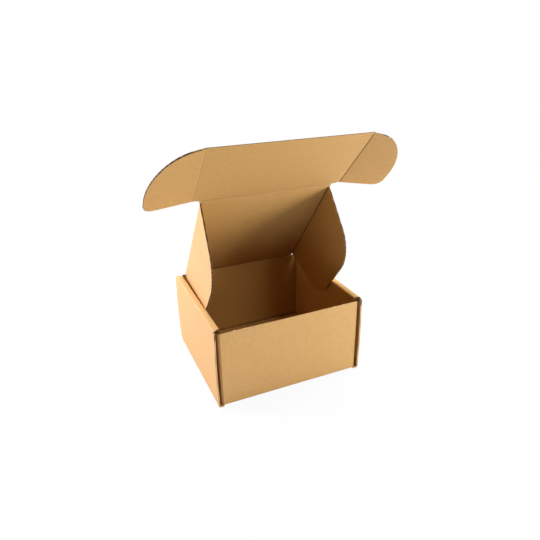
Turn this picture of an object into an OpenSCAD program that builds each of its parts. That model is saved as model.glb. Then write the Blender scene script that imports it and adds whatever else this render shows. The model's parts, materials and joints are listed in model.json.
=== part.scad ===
// Corrugated mailer box, folded from one sheet of fine-fluted board and shown with its lid half open.
// The origin is the centre of the underside. X runs across the box, Y from front to back, Z up.

/* [Box] */
// Width over the outer side walls
box_w = 150; // [130:1:220]
// Depth over the cut edges of the side walls
box_d = 131; // [115:1:180]
// Height of the rolled side walls
box_h = 80.5; // [74:0.5:110]
// How far the cut edges of the side walls stand out past the front and back walls
edge_proud = 0.8; // [0.3:0.1:2]
// Gap between the top of the front wall and the closed lid
front_gap = 2.9; // [0.3:0.1:4]

/* [Board] */
// Thickness of the board
board = 1.5; // [1.2:0.1:2]
// Distance from one flute to the next
flute_pitch = 3.4; // [3:0.1:5]
// Thickness of the two facing papers and of the wavy one between them
paper = 0.2; // [0.15:0.05:0.3]
// Radius inside a fold
fold_inside = 0.3; // [0.2:0.1:1]
// Depth to which a cut edge lies open between the facing papers, where the cut runs along the flutes
edge_open = 1; // [0.5:0.1:2]

/* [Side walls] */
// Free space on each face of an ear in its slot between the side wall and the corner flap
ear_clearance = 0.3; // [0.2:0.1:1]
// Gap between the corner flap and the inner side wall
layer_gap = 0.15; // [0.1:0.05:0.5]
// How far the flat top of a side wall stops short of the cut edges
strip_setback = 2; // [1:0.5:6]
// Length of each corner flap
corner_flap = 56; // [30:1:57]
// Length of each locking tab
tab_l = 22; // [10:1:30]
// Distance from the middle of the box to the middle of a tab
tab_y = 34; // [25:1:42]
// Free space round a tab in its slot
tab_clearance = 0.25; // [0.1:0.05:0.6]

/* [Lid] */
// Lean of the open lid, forward from upright
lid_lean = 38.4; // [0:0.1:80]
// How far the closed lid stands above the side walls
lid_proud = 0.65; // [0:0.05:1.5]
// Gap between the inner side walls and the lid
lid_side_gap = 3.45; // [2:0.05:6]
// Gap between the cut edges of the side walls and the closed front flap
front_flap_gap = 0.4; // [0.3:0.1:2]
// Free space between a panel and the round edge that turns on it
crease_gap = 0.3; // [0.2:0.05:0.5]

/* [Dust flaps] */
// Depth of the dust flaps
dust_depth = 66; // [40:1:72]
// Free space between a dust flap's edge and the inner side wall
dust_rest_gap = 0.3; // [0.2:0.1:1]
// Distance from the lid's back crease to the dust flap
dust_back = 1.3; // [1.2:0.1:4]
// Distance from the dust flap to the lid's front crease
dust_front = 4.1; // [3.6:0.1:10]
// How far the back edge of a dust flap slants in over its depth
dust_back_slant = 16.5; // [8:0.5:24]
// How far the front edge of a dust flap slants in over its depth
dust_front_slant = 21; // [8:0.5:28]
// Radius of the back corner of a dust flap
dust_back_round = 28; // [4:1:30]
// Radius of the front corner of a dust flap
dust_front_round = 36; // [4:1:38]

/* [Front flap and ears] */
// Bend of the front flap in from the plane of the open lid
tuck_bend = 6.4; // [0:0.1:30]
// Length of the front flap
tuck_l = 76.5; // [60:0.5:77]
// Inward fold of the left ear
left_ear_fold = 6; // [0:1:30]
// Inward fold of the right ear
right_ear_fold = 12; // [0:1:30]
// Reach of an ear from its crease
ear_reach = 43; // [30:1:52]
// Distance from the lid's front crease to the lower edge of an ear
ear_drop = 1.7; // [1.4:0.1:4]
// Radius of the lower corner of an ear
ear_corner = 9; // [3:1:12]
// Height where the long curve of an ear begins
ear_curve_start = 18; // [14:1:30]
// Width of the short slope at the top of an ear
ear_top_flat = 4; // [1:0.5:8]
// How far that slope falls from the top of the front flap
ear_top_drop = 1.5; // [0.2:0.1:4]

/* [Hidden] */

// Steps in a fold and in a larger curve
fold_steps = 5;
curve_steps = 12;

// Outer radius of a fold
fold_r = board + fold_inside;

// Faces of the layers of a side wall, from the outside in
side_out = box_w / 2;
side_inner_face = side_out - board;
corner_out = side_inner_face - board - 2 * ear_clearance;
inner_wall_out = corner_out - board - layer_gap;
inner_wall_in = inner_wall_out - board;

// Outer faces of the front and back walls, and the cut edges of the side walls
wall_y = box_d / 2 - edge_proud;
raw_y = box_d / 2;

// Axis of the lid's back crease, in the middle of the back wall
lid_y = wall_y - board / 2;
lid_z = box_h - board / 2 + lid_proud;
lid_l = lid_y + raw_y + front_flap_gap + board / 2;
lid_half = inner_wall_in - lid_side_gap;

// Tops of the walls and of the raised middle of the back wall
wall_top = lid_z - board / 2 - front_gap;
back_top = lid_z - board / 2 - crease_gap;
back_half = inner_wall_in - crease_gap;

// Creases of the dust flaps, on the inside faces, and of the ears, in the middle of the board
dust_x = lid_half - board;
ear_x = side_inner_face - ear_clearance - board / 2;

// Fold of a dust flap that leaves its edge just clear of the inner side wall
dust_fold = 90 - asin((inner_wall_in - dust_rest_gap - lid_half) / dust_depth);

// Where a panel stops short of the round edge that turns on it
hinge_stop = board / 2 + crease_gap;

// Solid band along a crease, before the flutes open
crease_band = 2;

// Part of the board's thickness that the wavy paper swings over, from its middle
wave = board / 2 - 1.5 * paper;

// Points on an arc from angle a0 to angle a1
function arc(c, r, a0, a1, steps = fold_steps) =
    [for (i = [0:steps]) let (a = a0 + (a1 - a0) * i / steps) [c.x + r * cos(a), c.y + r * sin(a)]];

// Points of a round that replaces the corner p between the points before and after it
function round_corner(before, p, after, r) =
    let (u = (before - p) / norm(before - p),
         v = (after - p) / norm(after - p),
         half = acos(u * v) / 2,
         c = p + (u + v) / norm(u + v) * r / sin(half),
         start = p + u * r / tan(half) - c,
         turn = (cross(u, v) > 0 ? 1 : -1) * (180 - 2 * half),
         a0 = atan2(start.y, start.x))
    arc(c, r, a0, a0 - turn, curve_steps);

// A board panel in the XZ plane, its thickness shared about Y = 0
module panel(outline) {
    rotate([90, 0, 0])
        linear_extrude(height = board, center = true)
            polygon(outline);
}

// The open gap between the facing papers, for a cut edge that runs along Z at the origin and looks along -Y
module open_edge(low, high) {
    gap = board - 2 * paper;
    translate([-gap / 2, -board, low])
        cube([gap, board + edge_open, high - low]);
}

// The same for a cut edge that runs along X and looks up
module open_edge_across(length) {
    rotate([0, 90, 0])
        rotate([0, 0, -90])
            open_edge(-length / 2, length / 2);
}

// The tray: floor, front and back walls, corner flaps and rolled side walls, all one sheet

module floor_and_walls() {
    profile = concat(
        [[-wall_y, wall_top]],
        arc([-wall_y + fold_r, fold_r], fold_r, 180, 270),
        arc([wall_y - fold_r, fold_r], fold_r, 270, 360),
        [[wall_y, wall_top], [wall_y - board, wall_top]],
        arc([wall_y - fold_r, fold_r], fold_inside, 360, 270),
        arc([-wall_y + fold_r, fold_r], fold_inside, 270, 180),
        [[-wall_y + board, wall_top]]);
    half = corner_out - fold_r;
    difference() {
        rotate([90, 0, 90])
            linear_extrude(height = 2 * half, center = true)
                polygon(profile);
        translate([0, -wall_y + board / 2, wall_top])
            open_edge_across(2 * half);
    }
}

// The middle of the back wall rises between the side walls to meet the lid
module back_wall_rise() {
    translate([-back_half, wall_y - board, wall_top - board])
        cube([2 * back_half, board, back_top - wall_top + board]);
}

// A corner flap with the fold that carries it, for the front right corner
module corner_fold_and_flap() {
    centre = [corner_out - fold_r, -wall_y + fold_r];
    plan = concat(
        [[corner_out - fold_r, -wall_y]],
        arc(centre, fold_r, 270, 360),
        [[corner_out, -wall_y + corner_flap], [corner_out - board, -wall_y + corner_flap]],
        arc(centre, fold_inside, 360, 270),
        [[corner_out - fold_r, -wall_y + board]]);
    translate([0, 0, board + crease_gap])
        linear_extrude(height = wall_top - board - crease_gap)
            polygon(plan);
}

// Outer side wall with the fold that joins it to the floor, over the full depth
module outer_side_wall() {
    profile = concat(
        [[corner_out - fold_r, 0]],
        arc([side_out - fold_r, fold_r], fold_r, 270, 360),
        [[side_out, box_h - fold_r], [side_inner_face, box_h - fold_r]],
        arc([side_out - fold_r, fold_r], fold_inside, 360, 270),
        [[corner_out - fold_r, board]]);
    difference() {
        rotate([90, 0, 0])
            linear_extrude(height = 2 * raw_y, center = true)
                polygon(profile);
        for (end = [0, 1])
            mirror([0, end, 0])
                translate([side_out - board / 2, -raw_y, 0])
                    open_edge(fold_r, box_h - fold_r);
    }
}

// The roll over the top, down to where the inner side wall begins
module rolled_top() {
    profile = concat(
        arc([side_out - fold_r, box_h - fold_r], fold_r, 0, 90),
        arc([inner_wall_in + fold_r, box_h - fold_r], fold_r, 90, 180),
        arc([inner_wall_in + fold_r, box_h - fold_r], fold_inside, 180, 90),
        arc([side_out - fold_r, box_h - fold_r], fold_inside, 90, 0));
    rotate([90, 0, 0])
        linear_extrude(height = 2 * (raw_y - strip_setback), center = true)
            polygon(profile);
}

// Inner side wall, with tabs that stand in slots in the floor
module inner_side_wall() {
    wall_l = 2 * (wall_y - board - crease_gap);
    foot = board + tab_clearance;
    translate([inner_wall_in, -wall_l / 2, foot])
        cube([board, wall_l, box_h - fold_r - foot]);
    for (side = [-1, 1])
        translate([inner_wall_in, side * tab_y - tab_l / 2, tab_clearance])
            cube([board, tab_l, foot]);
}

module floor_slots() {
    for (side = [-1, 1])
        translate([inner_wall_in - tab_clearance, side * tab_y - tab_l / 2 - tab_clearance, -board])
            cube([board + 2 * tab_clearance, tab_l + 2 * tab_clearance, 3 * board]);
}

module side_wall() {
    outer_side_wall();
    rolled_top();
    inner_side_wall();
}

module tray() {
    color("burlywood") {
        difference() {
            floor_and_walls();
            for (side = [0, 1])
                mirror([side, 0, 0]) floor_slots();
        }
        back_wall_rise();
        for (side = [0, 1])
            mirror([side, 0, 0]) {
                side_wall();
                for (end = [0, 1])
                    mirror([0, end, 0]) corner_fold_and_flap();
            }
    }
}

// Frames of the moving panels: Z runs up the panel from its crease, and the inside face looks along -Y

module in_lid_frame() {
    translate([0, lid_y, lid_z])
        rotate([lid_lean, 0, 0])
            children();
}

module in_tuck_frame() {
    in_lid_frame()
        translate([0, 0, lid_l])
            rotate([tuck_bend, 0, 0])
                children();
}

// The round edge on which a panel turns, along X
module round_edge_across(length) {
    rotate([0, 90, 0])
        cylinder(d = board, h = length, center = true, $fn = 24);
}

// Half of one cell between a facing paper and the wavy paper, as points across the board
function cell(middle, face) =
    [for (i = [-2:2]) let (s = i / 4 * (flute_pitch - 2 * paper))
        [face * (paper / 2 - wave * cos(360 * s / flute_pitch)), middle + s]];

// The open cells of the board, which run along X from the crease band to past the far edge
module cells(low, high, reach) {
    count = floor((high - low) / flute_pitch);
    first = (low + high - (count - 1) * flute_pitch) / 2;
    translate([crease_band, 0, 0])
        rotate([90, 0, 90])
            linear_extrude(height = reach)
                for (i = [0:count - 1]) {
                    polygon(cell(first + i * flute_pitch, 1));
                    if (i < count - 1)
                        polygon(cell(first + (i + 0.5) * flute_pitch, -1));
                }
}

// A panel with its flutes open at the edges, for a flap on an upright crease at X = 0
module fluted_panel(outline, low, high, reach) {
    difference() {
        panel(outline);
        cells(low, high, reach);
    }
}

// The lid, cut back beside the dust flaps and at the ends of its back crease
module lid() {
    tip = lid_l - hinge_stop;
    shoulder = lid_l - dust_front + crease_gap;
    inset = dust_x - crease_gap;
    outline = [[-inset, 0], [inset, 0], [inset, shoulder], [lid_half, shoulder], [lid_half, tip],
               [-lid_half, tip], [-lid_half, shoulder], [-inset, shoulder]];
    color("burlywood")
        in_lid_frame() {
            panel(outline);
            round_edge_across(2 * inset);
        }
}

// The dust flap of the right side. It turns on the inside face, and its fold rounds the lid's edge.
module dust_flap() {
    low = dust_back;
    high = lid_l - dust_front;
    back = [dust_depth, low + dust_back_slant];
    front = [dust_depth, high - dust_front_slant];
    outline = concat(
        [[0, low]],
        round_corner([0, low], back, front, dust_back_round),
        round_corner(back, front, [0, high], dust_front_round),
        [[0, high]]);
    in_lid_frame()
        translate([dust_x, -board / 2, 0])
            rotate([0, 0, -dust_fold]) {
                translate([0, board / 2, 0])
                    fluted_panel(outline, low, high, dust_depth);
                translate([0, 0, low])
                    linear_extrude(height = high - low)
                        polygon(concat([[0, 0]], arc([0, 0], board, 90, 90 + dust_fold)));
            }
}

module left_dust_flap() {
    color("tan")
        mirror([1, 0, 0]) dust_flap();
}

module right_dust_flap() {
    color("tan")
        dust_flap();
}

// The front flap, as wide as the ears' creases and narrowed at its lower corners to the lid
module front_tuck_flap() {
    edge = ear_x - hinge_stop;
    outline = [[-lid_half, 0], [lid_half, 0], [edge, ear_drop], [edge, tuck_l], [-edge, tuck_l],
               [-edge, ear_drop]];
    color("burlywood")
        in_tuck_frame() {
            difference() {
                panel(outline);
                translate([0, 0, tuck_l])
                    open_edge_across(2 * edge);
            }
            round_edge_across(2 * lid_half);
        }
}

// An ear of the right side: a square foot with one rounded corner, a quarter of an ellipse above it, and a
// short slope up to the front flap
module ear(fold) {
    foot = [ear_reach, ear_drop];
    rise = tuck_l - ear_top_drop - ear_curve_start;
    spread = ear_reach - ear_top_flat;
    outline = concat(
        [[0, ear_drop]],
        round_corner([0, ear_drop], foot, [ear_reach, ear_curve_start], ear_corner),
        [for (i = [0:curve_steps]) let (a = 90 * i / curve_steps)
            [ear_top_flat + spread * cos(a), ear_curve_start + rise * sin(a)]],
        [[0, tuck_l]]);
    in_tuck_frame()
        translate([ear_x, 0, 0])
            rotate([0, 0, -fold]) {
                fluted_panel(outline, ear_drop, tuck_l, ear_reach);
                translate([0, 0, ear_drop])
                    cylinder(d = board, h = tuck_l - ear_drop, $fn = 24);
            }
}

module left_ear() {
    color("tan")
        mirror([1, 0, 0]) ear(left_ear_fold);
}

module right_ear() {
    color("tan")
        ear(right_ear_fold);
}

tray();
lid();
left_dust_flap();
right_dust_flap();
front_tuck_flap();
left_ear();
right_ear();
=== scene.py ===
# Open mailer box folded from one sheet of fine-fluted kraft board
import json
import math
import bpy
import numpy as np
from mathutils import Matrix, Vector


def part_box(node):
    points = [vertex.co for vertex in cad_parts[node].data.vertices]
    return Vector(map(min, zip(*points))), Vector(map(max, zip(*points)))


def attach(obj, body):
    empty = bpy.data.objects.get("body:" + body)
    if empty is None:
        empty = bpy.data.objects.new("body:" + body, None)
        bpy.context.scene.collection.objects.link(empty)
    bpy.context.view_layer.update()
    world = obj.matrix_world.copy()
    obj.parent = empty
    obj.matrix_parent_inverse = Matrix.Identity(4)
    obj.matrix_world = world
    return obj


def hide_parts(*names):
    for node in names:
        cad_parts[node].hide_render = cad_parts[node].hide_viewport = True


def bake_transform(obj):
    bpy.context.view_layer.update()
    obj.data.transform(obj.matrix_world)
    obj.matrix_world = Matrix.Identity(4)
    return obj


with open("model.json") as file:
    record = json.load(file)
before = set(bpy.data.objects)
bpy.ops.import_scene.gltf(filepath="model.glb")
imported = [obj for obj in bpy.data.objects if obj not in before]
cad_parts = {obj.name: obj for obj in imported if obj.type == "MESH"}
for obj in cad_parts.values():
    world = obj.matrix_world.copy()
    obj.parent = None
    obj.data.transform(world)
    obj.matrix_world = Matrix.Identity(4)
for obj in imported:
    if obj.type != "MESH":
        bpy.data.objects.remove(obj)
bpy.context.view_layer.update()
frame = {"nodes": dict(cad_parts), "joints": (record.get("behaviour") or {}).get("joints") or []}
joints = {joint["name"]: joint for joint in frame["joints"]}
print("stage 1: frame loaded,", len(frame["nodes"]), "nodes")

# Lengths are in millimetres here, and a mesh is turned into metres as it is made
perMetre = 1000.0

board = {
    "thick": 1.5,        # whole board
    "paper": 0.2,        # each of its three papers
    "pitch": 3.4,        # one flute to the next
    "perFlute": 6,       # grid lines for each flute
    "columns": 21,       # grid lines along the flutes, across a panel
    "flapRows": 14,      # the same from a flap's crease to its outline
    "washboard": 0.012,  # how far the facing papers sink between the flutes
    "sharpAngle": 35,    # a turn sharper than this many degrees is shaded as an edge
}

crease = {
    "press": 0.5,        # share of the thickness that a full crease presses out
    "bead": 0.25,        # how far the middle moves outward there
    "width": 0.6,        # how far the pressed line spreads
    "radius": 1.0,       # of the middle of the board round the fold
    "reach": 4.0,        # a crease band runs this far onto the lid and the front flap
    "flapReach": 3.0,    # the same on dust flaps and ears
    "blend": 1.7,        # a band's points this far each side of the fold are worked out, but nothing uses them
    "step": 0.25,        # between two rows of a crease band
    "bendSteps": 8,      # rows round the fold of an upright crease
    "start": 0.1,        # a flap's width is read this much beyond its crease band
}

cutEdge = {
    "press": 0.55,       # a die crushes the board by this share at a cut along the flutes
    "width": 0.6,        # and this far in
}

halfBoard = board["thick"] / 2
hair = 0.01              # less than the step between any two grid lines


# A line of flats and bends in a plane. A flat goes straight on, and a bend turns by its angle on a circle of
# its radius. Gives the distance, the points and the heading along the line.
def foldPath(start, heading, parts, step=6.0, bendSteps=6):
    points = [np.array(start, float)]
    turns = [math.radians(heading)]
    distance = [0.0]
    for kind, amount, radius in parts:
        count = max(1, int(round(amount / step))) if kind == "flat" else bendSteps
        turn = 0.0 if kind == "flat" else math.radians(amount) / count
        stride = amount / count if kind == "flat" else radius * abs(turn)
        chord = stride if kind == "flat" else 2 * radius * math.sin(abs(turn) / 2)
        for k in range(count):
            middle = turns[-1] + turn / 2
            points.append(points[-1] + chord * np.array([math.cos(middle), math.sin(middle)]))
            turns.append(turns[-1] + turn)
            distance.append(distance[-1] + stride)
    return np.array(distance), np.array(points), np.array(turns)


# An open outline with each inner corner replaced by an arc of its radius, which touches both of its sides
def roundedOutline(corners, radii, steps=14):
    out = [np.array(corners[0], float)]
    for k in range(1, len(corners) - 1):
        before, corner, after = (np.array(corners[k + d], float) for d in (-1, 0, 1))
        u = (before - corner) / np.linalg.norm(before - corner)
        v = (after - corner) / np.linalg.norm(after - corner)
        half = math.acos(float(u @ v)) / 2
        radius = radii[k - 1]
        centre = corner + (u + v) / np.linalg.norm(u + v) * radius / math.sin(half)
        first = corner + u * radius / math.tan(half) - centre
        last = corner + v * radius / math.tan(half) - centre
        a0 = math.atan2(first[1], first[0])
        sweep = (math.atan2(last[1], last[0]) - a0 + math.pi) % (2 * math.pi) - math.pi
        a = np.linspace(a0, a0 + sweep, steps)
        out.extend(centre + radius * np.stack([np.cos(a), np.sin(a)], 1))
    out.append(np.array(corners[-1], float))
    return np.array(out)


# Grid lines from low to high, several to each flute
def fluteLines(low, high):
    count = int(math.ceil((high - low) / board["pitch"] * board["perFlute"]))
    return np.linspace(low, high, count + 1)


# How much of the thickness is pressed out at each distance: a smooth dip at each place
def pressed(distance, places, width=crease["width"], depth=crease["press"]):
    dip = sum(np.exp(-((distance - place) / width) ** 2) for place in places)
    return depth * np.minimum(dip, 1.0)


# How much a cut edge is crushed at each distance from it
def crushed(distance):
    return cutEdge["press"] * np.exp(-(distance / cutEdge["width"]) ** 2)


# Quads of one paper: its face, its back and a wall along every open edge of the kept cells
def paperFaces(rows, columns, keep):
    index = np.arange(rows * columns).reshape(rows, columns)
    under = index + rows * columns
    i, j = np.nonzero(keep)
    face = np.stack([index[i, j], index[i + 1, j], index[i + 1, j + 1], index[i, j + 1]], 1)
    back = np.stack([under[i, j + 1], under[i + 1, j + 1], under[i + 1, j], under[i, j]], 1)
    kept = np.zeros((rows + 1, columns + 1), bool)
    kept[1:-1, 1:-1] = keep
    a, b = np.nonzero(kept[1:-1, 1:] & ~kept[1:-1, :-1])
    low = np.stack([index[a + 1, b], index[a, b], under[a, b], under[a + 1, b]], 1)
    a, b = np.nonzero(kept[1:-1, :-1] & ~kept[1:-1, 1:])
    high = np.stack([index[a, b], index[a + 1, b], under[a + 1, b], under[a, b]], 1)
    a, b = np.nonzero(kept[1:, 1:-1] & ~kept[:-1, 1:-1])
    first = np.stack([index[a, b], index[a, b + 1], under[a, b + 1], under[a, b]], 1)
    a, b = np.nonzero(kept[:-1, 1:-1] & ~kept[1:, 1:-1])
    last = np.stack([index[a, b + 1], index[a, b], under[a, b], under[a, b + 1]], 1)
    return np.concatenate([face, back, low, high, first, last])


# Six times the volume inside a closed set of quads, with its sign
def signedVolume(points, quads):
    a, b, c, d = (points[quads[:, k]] for k in range(4))
    return float(np.einsum("ij,ij->", a, np.cross(b, c)) + np.einsum("ij,ij->", a, np.cross(c, d)))


# Which way the papers' surfaces face, from the outermost in: 1 is the outside of the box, -1 the inside, and
# what lies between is within the board
paperFacing = [1.0, 0.0, 0.6, 0.6, 0.0, -1.0]


# One object from arrays of points, quads, a flat map of the sheet, how dark the painted crease shade is at
# each point, and which way its paper faces
def meshObject(name, points, quads, sheet, creaseShadeValues, facing, material):
    used = np.unique(quads)
    renumber = np.zeros(len(points), int)
    renumber[used] = np.arange(len(used))
    mesh = bpy.data.meshes.new(name)
    mesh.from_pydata(points[used] / perMetre, [], renumber[quads])
    corners = np.empty(len(mesh.loops), int)
    mesh.loops.foreach_get("vertex_index", corners)
    layer = mesh.uv_layers.new(name="board")
    layer.data.foreach_set("uv", (sheet[used][corners] / perMetre).ravel())
    for label, values in (("scored", creaseShadeValues), ("facing", facing)):
        attribute = mesh.attributes.new(label, "FLOAT", "POINT")
        attribute.data.foreach_set("value", values[used].astype(np.float32))
    mesh.polygons.foreach_set("use_smooth", np.ones(len(mesh.polygons), bool))
    mesh.materials.append(material)
    mesh.update()
    mesh.set_sharp_from_angle(angle=math.radians(board["sharpAngle"]))
    piece = bpy.data.objects.new(name, mesh)
    bpy.context.scene.collection.objects.link(piece)
    return piece


# Three papers on one middle surface. The facing papers lie half the board's thickness away along the normal,
# and the third swings between them as a cosine of the distance across the flutes. press is the share of the
# thickness that is pressed out at each point, keep says which cells of the grid are board, slip moves the
# flutes along, and the crease shade says how dark the painted shade along a crease is. closed is how much
# the third paper swells to fill the space between the two others.
def boardPiece(name, points, normals, across, along, material, press=None, keep=None, slip=0.0, scored=None,
               closed=0.0):
    rows, columns = across.shape
    keep = np.ones((rows - 1, columns - 1), bool) if keep is None else keep
    press = np.zeros_like(across) if press is None else press
    half = halfBoard * (1 - press)
    paper = board["paper"]
    wave = np.cos(2 * math.pi * (across + slip) / board["pitch"])
    sink = board["washboard"] * (1 - press)
    space = half - 1.5 * paper
    swing = space * wave * (1 - closed)
    swell = paper / 2 + space * closed
    papers = [
        (half - sink * (1 - wave), half - paper - sink * (1 - wave)),
        (swing + swell, swing - swell),
        (-half + paper + sink * (1 + wave), -half + sink * (1 + wave)),
    ]
    quads = paperFaces(rows, columns, keep)
    allPoints, allQuads = [], []
    for number, (top, bottom) in enumerate(papers):
        upper = points + normals * top[..., None]
        lower = points + normals * bottom[..., None]
        paperPoints = np.concatenate([upper.reshape(-1, 3), lower.reshape(-1, 3)])
        outward = quads if signedVolume(paperPoints, quads) > 0 else quads[:, ::-1]
        allPoints.append(paperPoints)
        allQuads.append(outward + number * len(paperPoints))
    layers = len(paperFacing)
    sheet = np.tile(np.stack([(across + slip).ravel(), along.ravel()], 1), (layers, 1))
    creaseShadeValues = np.zeros(layers * rows * columns) if scored is None else np.tile(scored.ravel(), layers)
    facing = np.repeat(paperFacing, rows * columns)
    points, quads = np.concatenate(allPoints), np.concatenate(allQuads)
    return meshObject(name, points, quads, sheet, creaseShadeValues, facing, material)


def metres(point):
    return tuple(float(v) / perMetre for v in point)


def jointPoint(name):
    return np.array(joints[name]["pos_m"]) * perMetre


# The tray

tray = {
    "edgeProud": 0.8,      # side walls' cut edges stand out past the front and back walls
    "foldInside": 0.3,     # radius inside a fold
    "pocket": 2.1,         # slot for an ear, between side wall and corner flap
    "layerGap": 0.15,      # between corner flap and inner side wall
    "stripSetback": 2.0,   # flat top of a side wall stops short of the cut edges, at its outer fold
    "stripTaper": 2.2,     # and this much more at its inner fold
    "innerSetback": 3.2,   # the same for the inner side wall
    "wallTop": 76.75,      # front wall, corner flaps and shoulders of the back wall
    "cornerFlap": 56.0,    # length of a corner flap from the outside of its wall
    "tabLength": 22.0,
    "tabPlace": 34.0,
    "tabGap": 0.25,
    "creaseGap": 0.3,
    "bulge": 0.7,          # the side walls belly out a little
    "evenBulge": 0.35,     # this share of it all along, and the rest only near the cut edges
    "foldPress": 0.14,     # folds are pressed less than the lid's creases
    "foldSpread": 1.4,     # how far the pressed line of a fold spreads
    "sideSpread": 1.2,     # the same in a side wall
    "foldShade": 0.8,       # how dark the painted shade in the folds round the floor is
    "foldLine": 1.5,       # and how far that spreads
    "openFlute": 3.2,      # a flute stands open in a side wall's cut edge, this far below its fold
    "openLength": 2.6,     # and opens up and down over this length
    "closedEdge": 0.4,     # the rest of that edge is closed by torn medium, this far in
    "edgePhase": 0.06,     # where the cut edge meets a flute: 0 is on its outer crest, 0.5 on its inner one
    "openPhase": 0.38,     # added to it at the open flute
    "innerPhase": 0.5,     # the same for the flat top and the inner side wall
    "phaseSway": 0.06,     # it sways by this much up the edge
    "swayLength": 4.0,     # over this length, a radian
    "slipReach": 1.5,      # the flutes are slipped along only this far in from the cut edge
    "setback": 0.02,       # the flat top steps back over this much of the fold
    "rowStep": 0.58,       # between two rows of the floor and its walls
    "sideRowStep": 3.8,    # the same in a side wall
    "floorColumns": 25,    # grid lines across the floor, between its slots
}

sideOut, rawEdge, trayTop = np.array(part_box("tray")[1]) * perMetre
wallOut = rawEdge - tray["edgeProud"]
foldR = board["thick"] + tray["foldInside"]
middleR = foldR - halfBoard
quarter = middleR * math.pi / 2
cornerOut = sideOut - board["thick"] - tray["pocket"]
innerWall = cornerOut - 2 * board["thick"] - tray["layerGap"]
lidHinge = jointPoint("lid_hinge") * np.array([0, 1, 1])
bandLow = lidHinge[2] - crease["reach"]


# Front wall, floor and back wall: a line in the YZ plane carried along X, with a slot for each tab. The
# normal is to the right of the heading, so it points out of the tray.
def floorAndWalls(material):
    parts = [
        ("flat", tray["wallTop"] - foldR, 0),
        ("bend", 90, middleR),
        ("flat", 2 * (wallOut - foldR), 0),
        ("bend", 90, middleR),
        ("flat", bandLow - foldR, 0),
    ]
    start = (-wallOut + halfBoard, tray["wallTop"])
    distance, line, turns = foldPath(start, -90, parts, tray["rowStep"])
    side = cornerOut - foldR
    slotIn = innerWall - tray["tabGap"]
    slotOut = innerWall + board["thick"] + tray["tabGap"]
    between = np.linspace(-slotIn, slotIn, tray["floorColumns"])
    xs = np.tile(np.concatenate([[-side, -slotOut], between, [slotOut, side]]), (len(distance), 1))
    place = np.stack(np.broadcast_arrays(xs, line[:, 0:1], line[:, 1:2]), -1)
    normal = np.stack(np.broadcast_arrays(0 * xs, np.sin(turns)[:, None], -np.cos(turns)[:, None]), -1)
    folds = [tray["wallTop"] - foldR + quarter / 2, distance[-1] - (bandLow - foldR) - quarter / 2]
    press = pressed(distance, folds, tray["foldSpread"], tray["foldPress"]) + crushed(distance)
    press = press[:, None] + 0 * xs
    # Painted shade along the folds round the floor, on the inside paper
    scored = pressed(distance, folds, tray["foldLine"], tray["foldShade"])[:, None] + 0 * xs
    middleX = np.abs((xs[0, 1:] + xs[0, :-1]) / 2)[None, :]
    middle = (line[1:] + line[:-1]) / 2
    nearTab = np.abs(np.abs(middle[:, 0:1]) - tray["tabPlace"]) < tray["tabLength"] / 2 + tray["tabGap"]
    slot = (middle[:, 1:2] < board["thick"]) & nearTab & (middleX > slotIn) & (middleX < slotOut)
    rise = distance[:, None] + 0 * xs
    return boardPiece("floorAndWalls", place, normal, rise, xs, material, press, keep=~slot, scored=scored)


# The back wall beside the lid's crease, with a shoulder under each rolled side wall. Its lid measures stand
# with the lid's code below.
def backShoulder(name, sign, material):
    shoulder = tray["wallTop"]
    top = lidHinge[2] - halfBoard - tray["creaseGap"]
    rise = innerWall - tray["creaseGap"]
    inset = dustHinge - lid["relief"]
    lines = np.array([inset, (inset + rise) / 2, rise, cornerOut - foldR])
    zs = np.concatenate([np.linspace(bandLow, shoulder, 5), np.linspace(shoulder, top, 3)[1:]])
    xs = np.tile(sign * lines, (len(zs), 1))
    ups = zs[:, None] + 0 * xs
    place = np.stack([xs, wallOut - halfBoard + 0 * xs, ups], -1)
    normal = np.zeros_like(place) + (0, 1, 0)
    keep = ~((zs[1:] > shoulder + hair)[:, None] & (lines[1:] > rise + hair)[None, :])
    return boardPiece(name, place, normal, ups, xs, material, keep=keep)


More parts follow.
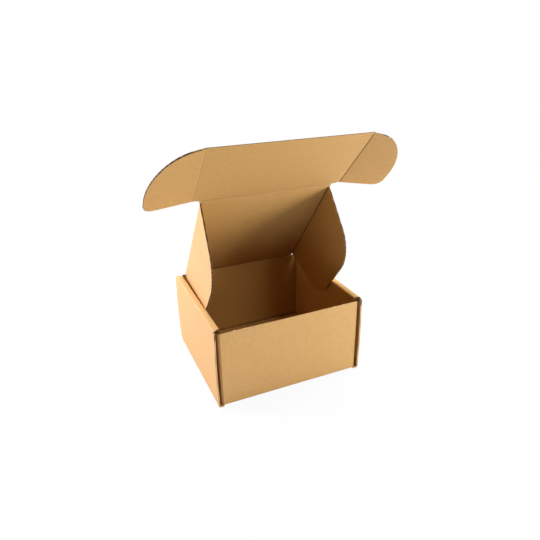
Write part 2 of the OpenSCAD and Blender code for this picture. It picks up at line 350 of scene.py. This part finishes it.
# Floor edge, outer wall, flat top and inner wall of one side: a line in the XZ plane carried along Y. The
# outer wall bellies out as half a sine wave over its height, most near its cut edges. The line's length along
# Y falls at the outer fold to the strip's and at the inner fold to the inner wall's.
def sideWall(name, sign, material):
    parts = [
        ("flat", sideOut - cornerOut, 0),
        ("bend", 90, middleR),
        ("flat", trayTop - 2 * foldR, 0),
        ("bend", 90, middleR),
        ("flat", sideOut - innerWall - 2 * foldR, 0),
        ("bend", 90, middleR),
        ("flat", trayTop - foldR - board["thick"] - tray["tabGap"], 0),
    ]
    distance, line, turns = foldPath((cornerOut - foldR, halfBoard), 0, parts, tray["sideRowStep"])
    wallStart = parts[0][1] + quarter
    wallEnd = wallStart + parts[2][1]
    stripStart = wallEnd + quarter
    stripEnd = stripStart + parts[4][1]
    # A second row just past the outer wall, for the step in its cut edge
    step = tray["setback"]
    doubled = int(np.argmin(np.abs(distance - wallEnd)))
    distance = np.insert(distance, doubled + 1, distance[doubled] + step)
    line = np.insert(line, doubled + 1, line[doubled] + (0, step), 0)
    turns = np.insert(turns, doubled + 1, turns[doubled])
    strip = rawEdge - tray["stripSetback"]
    halfLength = np.interp(distance, [wallEnd, wallEnd + step, stripEnd, stripEnd + quarter],
                           [rawEdge, strip, strip - tray["stripTaper"], rawEdge - tray["innerSetback"]])
    ys = halfLength[:, None] * (fluteLines(-rawEdge, rawEdge) / rawEdge)[None, :]
    up = np.clip((distance - wallStart) / (wallEnd - wallStart), 0, 1)[:, None]
    nearEdge = (np.abs(ys) / rawEdge) ** 3
    even = tray["evenBulge"]
    belly = tray["bulge"] * np.sin(math.pi * up) * (even + (1 - even) * nearEdge)
    place = np.stack([sign * (line[:, 0:1] + belly), ys, line[:, 1:2] + 0 * ys], -1)
    normal = np.stack([sign * np.sin(turns)[:, None] + 0 * ys, 0 * ys, -np.cos(turns)[:, None] + 0 * ys], -1)
    folds = [wallStart - quarter / 2, wallEnd + quarter / 2, stripEnd + quarter / 2]
    along = distance[:, None] + 0 * ys
    inward = halfLength[:, None] - np.abs(ys)
    outerWall = along < wallEnd + step / 2
    press = pressed(along, folds, tray["sideSpread"], tray["foldPress"])
    # The flutes are slipped along near a cut edge, so that the edge meets each at the wanted phase
    opened = np.exp(-((along - wallEnd + tray["openFlute"]) / tray["openLength"]) ** 2)
    sway = tray["phaseSway"] * np.sin(along / tray["swayLength"])
    outerPhase = tray["edgePhase"] + tray["openPhase"] * opened + sway
    phase = np.where(outerWall, outerPhase, tray["innerPhase"])
    drift = phase - (halfLength[:, None] / board["pitch"]) % 1
    slip = board["pitch"] * drift * (np.exp(-inward / tray["slipReach"]) * np.sign(ys))
    closed = np.exp(-inward / tray["closedEdge"]) * (1 - opened) * outerWall
    return boardPiece(name, place, normal, ys, along, material, press, slip=slip, closed=closed)


# The feet of the inner side walls, which stand in the floor's slots
def lockingTab(name, sign, middle, material):
    zs = np.array([tray["tabGap"], board["thick"] + tray["tabGap"]])
    half = tray["tabLength"] / 2
    ys = np.tile(fluteLines(middle - half, middle + half), (2, 1))
    ups = zs[:, None] + 0 * ys
    place = np.stack([sign * (innerWall + halfBoard) + 0 * ys, ys, ups], -1)
    normal = np.zeros_like(place) + (-sign, 0, 0)
    return boardPiece(name, place, normal, ys, ups, material)


# The end of the front or back wall, turned round the corner and back along the side wall: a line in the XY
# plane carried up Z
def cornerFlap(name, signX, signY, material):
    parts = [
        ("bend", 90, middleR),
        ("flat", tray["cornerFlap"] - foldR, 0),
    ]
    distance, line, turns = foldPath((cornerOut - foldR, -wallOut + halfBoard), 0, parts)
    zs = np.tile(fluteLines(board["thick"] + tray["creaseGap"], tray["wallTop"]), (len(distance), 1))
    place = np.stack([signX * line[:, 0:1] + 0 * zs, -signY * line[:, 1:2] + 0 * zs, zs], -1)
    normal = np.stack([signX * np.sin(turns)[:, None] + 0 * zs, signY * np.cos(turns)[:, None] + 0 * zs,
                       0 * zs], -1)
    press = pressed(distance, [quarter / 2], tray["foldSpread"], tray["foldPress"])[:, None] + 0 * zs
    return boardPiece(name, place, normal, zs, distance[:, None] + 0 * zs, material, press)


nicks = {
    "places": (-56.5, -46.2, 44.5, 54.2),   # torn paper bridges on the front wall's edge
    "length": 2.2,
    "height": 0.85,
    "halfWidth": 0.35,
    "inset": 0.25,         # of their middle from the front of the wall
    "rim": 0.05,           # how far their rim lies below the wall's edge
    "root": 0.25,          # and their underside
    "rough": 0.25,         # this share of the height comes and goes
    "grid": (13, 7),
}


# A torn tuft: a low dome over a small oval, its height falling as one minus the square of the distance
def nickTufts(material):
    rows, columns = nicks["grid"]
    u, v = np.meshgrid(np.linspace(-1, 1, rows), np.linspace(-1, 1, columns), indexing="ij")
    u, v = u * np.sqrt(1 - v ** 2 / 2), v * np.sqrt(1 - u ** 2 / 2)
    dome = np.clip(1 - u ** 2 - v ** 2, 0, 1)
    pieces = []
    for number, x in enumerate(nicks["places"]):
        rough = 1 - nicks["rough"] + nicks["rough"] * np.sin(5.0 * u + 3.0 * v + number)
        top = np.stack([x + u * nicks["length"] / 2, -wallOut + nicks["inset"] + nicks["halfWidth"] * v,
                        tray["wallTop"] - nicks["rim"] + nicks["height"] * dome * rough], -1)
        under = top * (1, 1, 0) + (0, 0, tray["wallTop"] - nicks["root"])
        points = np.concatenate([top.reshape(-1, 3), under.reshape(-1, 3)])
        quads = paperFaces(rows, columns, np.ones((rows - 1, columns - 1), bool))
        quads = quads if signedVolume(points, quads) > 0 else quads[:, ::-1]
        name = "nickTuft" + str(number + 1)
        flat = np.zeros(len(points))
        pieces.append(meshObject(name, points, quads, points[:, :2], flat, flat + 1, material))
    return pieces


def makeTray(material, torn):
    walls = floorAndWalls(material)
    pieces = [walls] + nickTufts(torn)
    for sign, side in ((-1, "left"), (1, "right")):
        pieces.append(sideWall(side + "SideWall", sign, material))
        pieces.append(backShoulder(side + "BackShoulder", sign, material))
        for end, word in ((1, "Front"), (-1, "Back")):
            pieces.append(cornerFlap(side + word + "CornerFlap", sign, end, material))
            pieces.append(lockingTab(side + word + "Tab", sign, -end * tray["tabPlace"], material))
    for piece in pieces:
        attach(piece, "tray")
    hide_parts("tray")
    print("stage 2: tray,", len(pieces), "pieces")


# Frames of the moving panels, from their joints: up the panel, and out of its outer face

sideways = np.array([1.0, 0, 0])
lidUp = np.array(joints["left_dust_flap_fold"]["axis"], float)
flapUp = np.array(joints["right_ear_fold"]["axis"], float)
lidOut = np.cross(lidUp, sideways)
flapOut = np.cross(flapUp, sideways)
flapHinge = jointPoint("front_flap_fold") * np.array([0, 1, 1])
lidLength = float(np.linalg.norm(flapHinge - lidHinge))


# A panel whose flutes run along X: rows up the panel, each with its own half width
def flatPanel(name, origin, up, out, ups, half, material, press=None):
    xs = half * np.linspace(-1, 1, board["columns"])[None, :] + 0 * ups[:, None]
    rise = ups[:, None] + 0 * xs
    place = origin + rise[..., None] * up + xs[..., None] * sideways
    press = 0 * xs if press is None else press[:, None] + 0 * xs
    return boardPiece(name, place, np.zeros_like(place) + out, rise, xs, material, press)


# A crease whose flutes run along it. The board comes up behind the crease, bends inward by the fold and goes
# on along up. The inside face is pressed into a channel, and the outside keeps a low bead.
def crossCrease(name, origin, up, out, fold, phase, halfWidths, line, material):
    reach, radius = crease["reach"], crease["radius"]
    angle = math.radians(fold)
    flat = reach - radius * math.tan(angle / 2)
    parts = [("flat", flat, 0), ("bend", fold, radius), ("flat", flat, 0)]
    distance, path, turns = foldPath((-reach, 0), 0, parts, crease["step"])
    distance = distance - distance[-1] / 2
    before = up * math.cos(angle) + out * math.sin(angle)
    beyond = out * math.cos(angle) - up * math.sin(angle)
    xs = halfWidths(distance)[:, None] * np.linspace(-1, 1, board["columns"])[None, :]
    ahead = np.cos(turns)[:, None, None] * before - np.sin(turns)[:, None, None] * beyond
    normal = np.cos(turns)[:, None, None] * beyond + np.sin(turns)[:, None, None] * before
    normal = normal + 0 * xs[..., None] + 0 * ahead
    dip = pressed(distance, [0.0], depth=line["press"])[:, None] + 0 * xs
    flatLine = path[:, 0, None, None] * before - path[:, 1, None, None] * beyond
    bead = dip / crease["press"] * crease["bead"]
    place = origin + flatLine + xs[..., None] * sideways + normal * bead[..., None]
    rise = (distance + phase)[:, None] + 0 * xs
    # Painted shade along the pressed channel, on the inside paper, as strong as the line's dark share
    scored = dip / line["press"] * line["dark"]
    return boardPiece(name, place, normal, rise, xs, material, dip, scored=scored)


# A crease whose flutes run across it. The board comes out sideways from the panel, bends inward by the fold
# and goes on into the flap, where its two ends close in by the slopes.
def uprightCrease(name, origin, sign, up, out, fold, places, reach, slopes, line, material):
    radius = crease["radius"]
    angle = math.radians(fold)
    flat = reach - radius * math.tan(angle / 2)
    parts = [("flat", flat, 0), ("bend", -fold, radius), ("flat", flat, 0)]
    distance, path, turns = foldPath((-reach, 0), 0, parts, crease["step"], crease["bendSteps"])
    distance = distance - distance[-1] / 2
    side = sign * sideways
    share = (places - places[0]) / (places[-1] - places[0])
    beyondFold = np.clip(distance, 0, None)[:, None]
    ups = places[None, :] + beyondFold * (slopes[0] * (1 - share) - slopes[1] * share)[None, :]
    normal = -np.sin(turns)[:, None, None] * side + np.cos(turns)[:, None, None] * out + 0 * ups[..., None]
    dip = pressed(distance, [0.0], depth=line["press"])[:, None] + 0 * ups
    place = origin + path[:, 0, None, None] * side + path[:, 1, None, None] * out + ups[..., None] * up
    bead = dip / crease["press"] * crease["bead"]
    place = place + normal * bead[..., None]
    # Painted shade along the pressed channel, on the inside paper, as strong as the line's dark share
    scored = dip / line["press"] * line["dark"]
    press = np.maximum(dip, crushed(ups.max(1)[:, None] - ups)) if slopes[0] == 0 else dip
    return boardPiece(name, place, normal, ups, distance[:, None] + 0 * ups, material, press, scored=scored)


# Fixes a crease band where it stands. The points a blend's length before and after the fold are worked out,
# but nothing uses them.
def shareBand(band, pivot, before, after):
    share = crease["blend"]
    metres(pivot - before * share)
    metres(pivot + after * share)
    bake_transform(band)


# A flap on an upright crease. Columns of the grid run from the crease band to the outline, and the flutes run
# with them.
def flutedFlap(name, origin, ahead, up, out, places, depths, material):
    start = crease["flapReach"]
    reach = start + (depths[None, :] - start) * np.linspace(0, 1, board["flapRows"])[:, None]
    ups = places[None, :] + 0 * reach
    place = origin + reach[..., None] * ahead + ups[..., None] * up
    return boardPiece(name, place, np.zeros_like(place) + out, ups, reach, material)


# The lid

lid = {
    "half": 64.8,          # half width over the folds of the dust flaps
    "dustBack": 1.3,       # from the back crease to the dust flaps
    "dustFront": 4.1,      # from the dust flaps to the front crease
    "creaseGap": 0.3,
    "relief": 0.9,         # cut away at each end of the back crease, where light shows through
    "backStep": 0.1,       # the lid narrows for the dust flaps this much before they begin
    "frontStep": 0.2,      # and widens this much beyond the gap after them
    # In each crease line, press is the share pressed out and dark the strength of its painted shade
    "backLine": {"press": 0.5, "dark": 0.9},
    "frontLine": {"press": 0.35, "dark": 0.3},
}

dustLow = lid["dustBack"]
dustHigh = lidLength - lid["dustFront"]
dustHinge = lid["half"] - board["thick"]
lidSide = dustHinge - crease["flapReach"]


# Half width of the lid at each distance from its back crease, which is free at its ends
def backHalf(distance):
    return np.where(distance < dustLow - lid["backStep"], dustHinge - lid["relief"], lidSide)


# Half width about the front crease: narrow beside the dust flaps, full at the crease, wider under the ears
def frontHalf(distance):
    besideFlaps = distance < lid["creaseGap"] - lid["dustFront"] + lid["frontStep"]
    foot = lid["half"] + np.clip(distance / ear["drop"], 0, 1) * (flapSide - lid["half"])
    return np.where(besideFlaps, lidSide, foot)


def makeLid(material):
    ups = fluteLines(crease["reach"], lidLength - crease["reach"])
    panel = flatPanel("lidPanel", lidHinge, lidUp, lidOut, ups, lidSide, material)
    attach(panel, "lid")
    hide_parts("lid")
    lean = math.degrees(math.acos(lidUp[2]))
    band = crossCrease("lidCrease", lidHinge, lidUp, lidOut, lean, 0.0, backHalf, lid["backLine"], material)
    shareBand(band, lidHinge, np.array([0, 0, 1.0]), lidUp)
    bend = math.degrees(math.acos(float(lidUp @ flapUp)))
    band = crossCrease("frontFlapCrease", flapHinge, flapUp, flapOut, bend, lidLength, frontHalf,
                       lid["frontLine"], material)
    shareBand(band, flapHinge, lidUp, flapUp)
    print("stage 3: lid and its two cross creases")


# The dust flaps

dust = {
    "depth": 66.0,
    "backSlant": 16.5,
    "frontSlant": 21.0,
    "backRound": 28.0,
    "frontRound": 36.0,
    "fold": 87.264,        # leaves its edge just clear of the inner side wall
    # dark in the line is the strength of the crease's painted shade
    "line": {"press": 0.5, "dark": 1.0},
}


def makeDustFlap(side, sign, material):
    body = side + "_dust_flap"
    outline = roundedOutline(
        [(0, dustLow), (dust["depth"], dustLow + dust["backSlant"]),
         (dust["depth"], dustHigh - dust["frontSlant"]), (0, dustHigh)],
        [dust["backRound"], dust["frontRound"]])
    slopes = (dust["backSlant"] / dust["depth"], dust["frontSlant"] / dust["depth"])
    nearCrease = crease["flapReach"] + crease["start"]
    places = fluteLines(dustLow + slopes[0] * nearCrease, dustHigh - slopes[1] * nearCrease)
    depths = np.interp(places, outline[:, 1], outline[:, 0])
    angle = math.radians(dust["fold"])
    ahead = sign * sideways * math.cos(angle) - lidOut * math.sin(angle)
    out = sign * sideways * math.sin(angle) + lidOut * math.cos(angle)
    pivot = lidHinge + sign * dustHinge * sideways - lidOut * halfBoard
    flap = flutedFlap(side + "DustFlap", pivot + out * halfBoard, ahead, lidUp, out,
                      places, depths, material)
    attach(flap, body)
    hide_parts(body)
    corner = halfBoard * math.tan(angle / 2)
    band = uprightCrease(side + "DustCrease", lidHinge + sign * (dustHinge + corner) * sideways, sign, lidUp,
                         lidOut, dust["fold"], fluteLines(dustLow, dustHigh), corner + crease["flapReach"],
                         slopes, dust["line"], material)
    shareBand(band, pivot, sign * sideways, ahead)


# The front flap and its ears

frontFlap = {
    "length": 76.5,
    "earCrease": 72.45,
}

ear = {
    "reach": 43.0,
    "drop": 1.7,
    "corner": 9.0,
    "curveStart": 18.0,
    "topFlat": 4.0,
    "topDrop": 1.5,        # over that width
    "curveSteps": 40,
    "leftFold": 6.0,
    "rightFold": 12.0,
    # dark in each line is the strength of the crease's painted shade
    "leftLine": {"press": 0.08, "dark": 0.0},
    "rightLine": {"press": 0.4, "dark": 0.15},
}

flapSide = frontFlap["earCrease"] - crease["flapReach"]


# An ear: a square foot with one rounded corner, a quarter of an ellipse above it and a short slope on top
def makeEar(side, sign, material):
    body = side + "_ear"
    foot = roundedOutline([(0, ear["drop"]), (ear["reach"], ear["drop"]), (ear["reach"], ear["curveStart"])],
                          [ear["corner"]])
    a = np.linspace(0, math.pi / 2, ear["curveSteps"])
    rise = frontFlap["length"] - ear["topDrop"] - ear["curveStart"]
    curve = np.stack([ear["topFlat"] + (ear["reach"] - ear["topFlat"]) * np.cos(a),
                      ear["curveStart"] + rise * np.sin(a)], 1)
    outline = np.concatenate([foot[1:], curve, [[0, frontFlap["length"]]]])
    slope = ear["topDrop"] / ear["topFlat"]
    places = fluteLines(ear["drop"], frontFlap["length"] - slope * (crease["flapReach"] + crease["start"]))
    depths = np.interp(places, outline[:, 1], outline[:, 0])
    fold = ear[side + "Fold"]
    angle = math.radians(fold)
    ahead = sign * sideways * math.cos(angle) - flapOut * math.sin(angle)
    out = sign * sideways * math.sin(angle) + flapOut * math.cos(angle)
    pivot = flapHinge + sign * frontFlap["earCrease"] * sideways
    flap = flutedFlap(side + "Ear", pivot, ahead, flapUp, out, places, depths, material)
    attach(flap, body)
    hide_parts(body)
    heights = fluteLines(ear["drop"], frontFlap["length"])
    band = uprightCrease(side + "EarCrease", pivot, sign, flapUp, flapOut, fold, heights,
                         crease["flapReach"], (0.0, slope), ear[side + "Line"], material)
    shareBand(band, pivot, sign * sideways, ahead)


def makeFrontFlap(material):
    ups = fluteLines(crease["reach"], frontFlap["length"])
    panel = flatPanel("frontFlap", flapHinge, flapUp, flapOut, ups, flapSide, material,
                      crushed(frontFlap["length"] - ups))
    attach(panel, "front_tuck_flap")
    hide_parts("front_tuck_flap")
    makeEar("left", -1, material)
    makeEar("right", 1, material)
    print("stage 5: front flap and ears")


# Materials

# A node's output, with the arithmetic that it takes
class Socket:

    def __init__(self, shader, link):
        self.shader = shader
        self.link = link

    def maths(self, operation, first, second):
        return self.shader.node("ShaderNodeMath", {"operation": operation}, {0: first, 1: second})

    def __add__(self, other):
        return self.maths("ADD", self, other)

    def __radd__(self, other):
        return self.maths("ADD", other, self)

    def __sub__(self, other):
        return self.maths("SUBTRACT", self, other)

    def __rsub__(self, other):
        return self.maths("SUBTRACT", other, self)

    def __mul__(self, other):
        return self.maths("MULTIPLY", self, other)

    def __rmul__(self, other):
        return self.maths("MULTIPLY", other, self)

    def __pow__(self, other):
        return self.maths("POWER", self, other)

    def __rpow__(self, other):
        return self.maths("POWER", other, self)


# A tree of nodes, of a material or of the world
class Shader:

    def __init__(self, owner):
        self.owner = owner
        owner.use_nodes = True
        self.tree = owner.node_tree
        self.tree.nodes.clear()

    def node(self, kind, settings=None, values=None, output=0):
        made = self.tree.nodes.new(kind)
        for key, value in (settings or {}).items():
            if key == "stops":
                self.setStops(made.color_ramp.elements, value)
            else:
                setattr(made, key, value)
        for key, value in (values or {}).items():
            if isinstance(value, Socket):
                self.tree.links.new(value.link, made.inputs[key])
            else:
                made.inputs[key].default_value = value
        return Socket(self, made.outputs[output]) if len(made.outputs) else None

    def setStops(self, elements, stops):
        while len(elements) < len(stops):
            elements.new(1.0)
        for element, (position, colour) in zip(elements, stops):
            element.position = position
            element.color = colour


# A colour as seen on a screen, 0 to 255, in the renderer's linear values
def linear(red, green, blue):
    seen = np.array([red, green, blue]) / 255.0
    value = np.where(seen <= 0.04045, seen / 12.92, ((seen + 0.055) / 1.055) ** 2.4)
    return tuple(float(v) for v in value) + (1.0,)


kraft = {
    "dark": linear(188, 141, 77),
    "light": linear(214, 169, 100),
    "tornDark": linear(226, 190, 128),   # torn paper bridges
    "tornLight": linear(250, 224, 172),
    "fleck": linear(142, 96, 50),
    "flute": linear(206, 166, 112),      # cut papers between the two faces, in a flute that opens inward
    "openFlute": linear(36, 20, 12),     # and painted shade in one that opens outward, where the hole is deep
    "fluteShare": 0.95,                  # how much of those two colours a cut edge shows
    "inside": (0.83, 0.80, 0.69, 1),     # painted shade: the inside paper is darkened and warmed, for the dim inside of the box
    "creaseShadeColour": linear(70, 42, 20),         # painted shade in the line that a crease presses into the inside
    "blotchSize": 3.0,     # mm
    "fibreLength": 5.0,    # mm
    "fibreWidth": 0.35,    # mm
    "grainSize": 1 / 2.2,  # mm
    "fleckSize": 1 / 0.9,  # mm
    "fleckNoise": (0.68, 0.76),    # a fleck begins and is full where its noise has these values
    "fleckShare": 0.35,
    "blotchTone": 0.6,     # how much each of these moves the tone from dark to light
    "fibreTone": 0.6,
    "grainTone": 0.9,
    "fluteTone": 0.1,      # and the faint stripe over each flute, on the inside
    "insideFrom": -0.5,    # a facing below this is the inside paper
    "roughness": 0.7,
    "gloss": 0.35,
    "relief": 0.25,        # strength and depth of the bump, in metres
    "reliefDepth": 0.0001,
    "fibreRelief": 0.6,    # how much each of these adds to it
    "grainRelief": 0.3,
    "blotchRelief": 0.4,
}


# Kraft paper: soft blotches, fibres that lie across the flutes, fine grain, a few dark flecks and a faint
# stripe over each flute, with painted shade in open flutes, along creases and over all of the inside paper
def kraftBoard(name, dark, light):
    shader = Shader(bpy.data.materials.new(name))
    node = shader.node
    place = node("ShaderNodeTexCoord", None, None, "Object")
    sheet = node("ShaderNodeUVMap", {"uv_map": "board"})
    across = node("ShaderNodeSeparateXYZ", None, {"Vector": sheet}, "X")
    along = Socket(shader, across.link.node.outputs["Y"])
    blotch = node("ShaderNodeTexNoise", None,
                  {"Vector": place, "Scale": perMetre / kraft["blotchSize"], "Detail": 5.0, "Roughness": 0.6},
                  "Fac")
    fibreVector = node("ShaderNodeCombineXYZ", None, {
        "X": across * (perMetre / kraft["fibreLength"]),
        "Y": along * (perMetre / kraft["fibreWidth"])})
    fibre = node("ShaderNodeTexNoise", None,
                 {"Vector": fibreVector, "Scale": 1.0, "Detail": 3.0, "Roughness": 0.65, "Distortion": 0.8},
                 "Fac")
    grain = node("ShaderNodeTexNoise", None,
                 {"Vector": place, "Scale": perMetre / kraft["grainSize"], "Detail": 2.0, "Roughness": 0.7},
                 "Fac")
    fleck = node("ShaderNodeTexNoise", None,
                 {"Vector": place, "Scale": perMetre / kraft["fleckSize"], "Detail": 1.0, "Roughness": 0.5},
                 "Fac")
    begins, full = kraft["fleckNoise"]
    flecked = node("ShaderNodeValToRGB", {"stops": [(begins, (0, 0, 0, 1)), (full, (1, 1, 1, 1))]},
                   {"Fac": fleck})
    stripe = node("ShaderNodeMath", {"operation": "COSINE"},
                  {0: across * (2 * math.pi * perMetre / board["pitch"])})
    scored = node("ShaderNodeAttribute", {"attribute_name": "scored"}, None, "Fac")
    facing = node("ShaderNodeAttribute", {"attribute_name": "facing"}, None, "Fac")
    inside = node("ShaderNodeMath", {"operation": "LESS_THAN"}, {0: facing, 1: kraft["insideFrom"]})
    within = 1 - facing * facing
    tone = 0.5 + (blotch - 0.5) * kraft["blotchTone"] + (fibre - 0.5) * kraft["fibreTone"]
    tone = tone + (grain - 0.5) * kraft["grainTone"] + stripe * inside * kraft["fluteTone"]
    # A cut edge shows its papers where a flute is closed, and painted shade where one stands open
    cut = node("ShaderNodeMix", {"data_type": "RGBA"},
               {"Factor": (0.5 + stripe * 0.5) ** 4, 6: kraft["openFlute"], 7: kraft["flute"]}, 2)
    base = node("ShaderNodeMix", {"data_type": "RGBA", "clamp_factor": True},
                {"Factor": tone, 6: dark, 7: light}, 2)
    fleckShare = flecked * kraft["fleckShare"]
    base = node("ShaderNodeMix", {"data_type": "RGBA"}, {"Factor": fleckShare, 6: base, 7: kraft["fleck"]}, 2)
    # Painted shade over all of the inside paper, darker and warmer
    base = node("ShaderNodeMix", {"data_type": "RGBA", "blend_type": "MULTIPLY"},
                {"Factor": inside, 6: base, 7: kraft["inside"]}, 2)
    cutShare = within * kraft["fluteShare"]
    base = node("ShaderNodeMix", {"data_type": "RGBA"}, {"Factor": cutShare, 6: base, 7: cut}, 2)
    # Painted shade along creases and folds, on the inside paper only
    base = node("ShaderNodeMix", {"data_type": "RGBA"},
                {"Factor": scored * inside, 6: base, 7: kraft["creaseShadeColour"]}, 2)
    height = fibre * kraft["fibreRelief"] + grain * kraft["grainRelief"] + blotch * kraft["blotchRelief"]
    bump = node("ShaderNodeBump", None,
                {"Strength": kraft["relief"], "Distance": kraft["reliefDepth"], "Height": height})
    surface = node("ShaderNodeBsdfPrincipled", None, {
        "Base Color": base, "Roughness": kraft["roughness"], "Specular IOR Level": kraft["gloss"],
        "Normal": bump})
    node("ShaderNodeOutputMaterial", None, {"Surface": surface})
    return shader.owner


# The room

room = {
    "cameraPlace": (-176.8, -421.2, 303.3),
    "cameraTurn": (65.778, 0.939, -24.022),
    "lens": 33.221,
    "sensor": 36.0,
    "nearest": 0.01,       # metres
    "floorHalf": 3.0,      # metres
    "floorPaper": 0.75,    # how much light the floor gives back
    "shadowShare": 0.08,   # of the lit floor, in what the camera sees beside the box; the rest is plain white
    "shadowReach": 0.25,   # metres from the middle of the box, where that share has fallen to a third
    "skyLight": 0.02,
}

# Place, aim, width and height in mm, power in watts
lamps = {
    "keyBackLeft": {"place": (-706, 408, 460), "aim": (0, 0, 60), "size": (300, 300), "power": 12.0,
                    "colour": (0.95, 0.94, 1.30)},
    "rightLow": {"place": (717, -350, 136), "aim": (0, 0, 100), "size": (600, 210), "power": 9.2,
                 "colour": (0.92, 0.95, 1.13)},
    "topBack": {"place": (-39, 448, 859), "aim": (0, 0, 60), "size": (250, 250), "power": 5.0,
                "colour": (0.89, 1.06, 1.16)},
    "rightTop": {"place": (446, 63, 859), "aim": (0, 0, 60), "size": (250, 250), "power": 6.0,
                 "colour": (0.89, 1.02, 1.16)},
    "frontRight": {"place": (313, -541, 727), "aim": (0, 0, 60), "size": (250, 250), "power": 2.1,
                   "colour": (1.0, 1.0, 1.0)},
}


# 1 for a ray from the camera, a reflection or something clear, and 0 for light that falls on the box
def seenDirectly(shader):
    path = shader.node("ShaderNodeLightPath", None, None, "Is Camera Ray")
    glossy = Socket(shader, path.link.node.outputs["Is Glossy Ray"])
    clear = Socket(shader, path.link.node.outputs["Is Transmission Ray"])
    settings = {"operation": "ADD", "use_clamp": True}
    return shader.node("ShaderNodeMath", settings, {0: path + glossy, 1: clear})


def makeRoom():
    camera = bpy.data.cameras.new("camera")
    camera.lens = room["lens"]
    camera.sensor_width = room["sensor"]
    camera.clip_start = room["nearest"]
    holder = bpy.data.objects.new("camera", camera)
    holder.location = metres(room["cameraPlace"])
    holder.rotation_euler = tuple(math.radians(v) for v in room["cameraTurn"])
    bpy.context.scene.collection.objects.link(holder)
    bpy.context.scene.camera = holder

    shader = Shader(bpy.data.materials.new("whiteFloor"))
    paper = room["floorPaper"]
    lit = shader.node("ShaderNodeBsdfDiffuse", None, {"Color": (paper, paper, paper, 1)})
    glow = shader.node("ShaderNodeEmission", None, {"Color": (1, 1, 1, 1), "Strength": 1.0})
    spot = shader.node("ShaderNodeTexCoord", None, None, "Object")
    away = shader.node("ShaderNodeVectorMath", {"operation": "LENGTH"}, {0: spot}, "Value")
    share = room["shadowShare"] * math.exp(-1) ** ((away * (1 / room["shadowReach"])) ** 2)
    mixed = shader.node("ShaderNodeMixShader", None, {0: seenDirectly(shader) * (1 - share), 1: lit, 2: glow})
    shader.node("ShaderNodeOutputMaterial", None, {"Surface": mixed})
    half = room["floorHalf"]
    corners = [(-half, -half, 0), (half, -half, 0), (half, half, 0), (-half, half, 0)]
    mesh = bpy.data.meshes.new("floor")
    mesh.from_pydata(corners, [], [(0, 1, 2, 3)])
    mesh.materials.append(shader.owner)
    ground = bpy.data.objects.new("floor", mesh)
    bpy.context.scene.collection.objects.link(ground)

    sky = Shader(bpy.data.worlds.new("studio"))
    strength = seenDirectly(sky) * (1 - room["skyLight"]) + room["skyLight"]
    white = sky.node("ShaderNodeBackground", None, {"Color": (1, 1, 1, 1), "Strength": strength})
    sky.node("ShaderNodeOutputWorld", None, {"Surface": white})
    bpy.context.scene.world = sky.owner
    bpy.context.scene.view_settings.view_transform = "Standard"


# Each lamp is a flat panel that looks from its place to its aim
def makeLamps():
    for name, values in lamps.items():
        lamp = bpy.data.lights.new(name, "AREA")
        lamp.energy = values["power"]
        lamp.color = values["colour"]
        lamp.shape = "RECTANGLE"
        lamp.size = values["size"][0] / perMetre
        lamp.size_y = values["size"][1] / perMetre
        holder = bpy.data.objects.new(name, lamp)
        place = np.array(values["place"], float)
        back = place - np.array(values["aim"], float)
        holder.location = metres(place)
        holder.rotation_euler = (math.atan2(math.hypot(back[0], back[1]), back[2]), 0,
                                 math.atan2(back[0], -back[1]))
        bpy.context.scene.collection.objects.link(holder)


boardMaterial = kraftBoard("kraftBoard", kraft["dark"], kraft["light"])
makeTray(boardMaterial, kraftBoard("tornPaper", kraft["tornDark"], kraft["tornLight"]))
makeLid(boardMaterial)
makeDustFlap("left", -1, boardMaterial)
makeDustFlap("right", 1, boardMaterial)
print("stage 4: dust flaps")
makeFrontFlap(boardMaterial)
makeRoom()
makeLamps()
print("stage 6: room and lamps")
